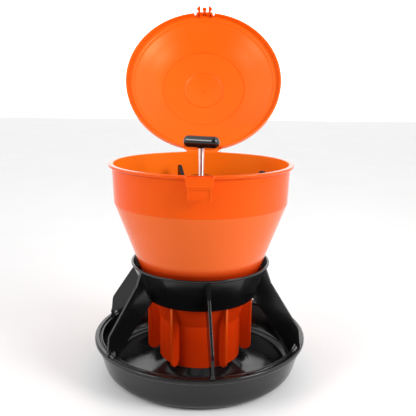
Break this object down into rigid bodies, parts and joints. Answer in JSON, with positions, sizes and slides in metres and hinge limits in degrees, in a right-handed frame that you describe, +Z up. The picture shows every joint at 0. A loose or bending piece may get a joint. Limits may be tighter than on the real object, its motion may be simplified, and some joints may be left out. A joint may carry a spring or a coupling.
{
  "type": "gravity poultry feeder",
  "caption": "Round gravity feeder for poultry: funnel hopper with a hinged domed lid over a divided feed pan, with a sprung T-handle rod that clamps it to a slotted floor.",
  "frame": {"origin": "middle of the tray's foot, on the ground", "axes": "+Z up, -Y towards the latch at the front, +X to the right seen from the front"},
  "size_m": [0.3, 0.4267, 0.5321],
  "materials": {
    "black_plastic": "glossy moulded black polypropylene with soft edge highlights",
    "orange_plastic": "semi-gloss moulded orange polypropylene",
    "lid_plastic": "satin moulded orange polypropylene",
    "handle_plastic": "polished black nylon",
    "chrome": "bright plated rod",
    "steel": "zinc-plated steel"
  },
  "bodies": {
    "frame": {"tray": "black_plastic", "collar": "black_plastic", "divider_1": "black_plastic", "divider_2": "black_plastic", "divider_3": "black_plastic", "divider_4": "black_plastic", "divider_5": "black_plastic", "divider_6": "black_plastic", "lock_spring": "steel"},
    "cross": {"hold_down_cross": "black_plastic", "tube_cap": "black_plastic"},
    "hopper": {"hopper": "orange_plastic", "hinge_pin": "steel"},
    "lid": {"lid": "lid_plastic"},
    "washer": {"spring_washer": "steel"},
    "rod": {"lock_rod": "chrome", "t_handle": "handle_plastic", "handle_pin": "steel", "washer_pin": "steel", "toggle_bar": "steel", "toggle_pin": "steel"}
  },
  "joints": [
    {"name": "hopper_lift", "type": "slide", "parent": "frame", "child": "cross", "axis": [0, 0, 1], "range_m": [0, 0.008]},
    {"name": "hopper_turn", "type": "hinge", "parent": "cross", "child": "hopper", "pos_m": [0, 0, 0.2], "axis": [0, 0, 1], "range_deg": [0, 30]},
    {"name": "lid_hinge", "type": "hinge", "parent": "hopper", "child": "lid", "pos_m": [0, 0.136, 0.293], "axis": [1, 0, 0], "range_deg": [0, 120.7]},
    {"name": "rod_press", "type": "slide", "parent": "frame", "child": "washer", "axis": [0, 0, -1], "range_m": [0, 0.026], "stiffness_N_per_m": 1500, "springref_m": -0.01, "deforming": ["lock_spring"]},
    {"name": "rod_turn", "type": "hinge", "parent": "washer", "child": "rod", "pos_m": [0, 0, 0.2], "axis": [0, 0, 1], "continuous": true}
  ],
  "couplings": [
    {"joint": "hopper_lift", "follows": "hopper_turn", "m_per_rad": 0.015}
  ]
}
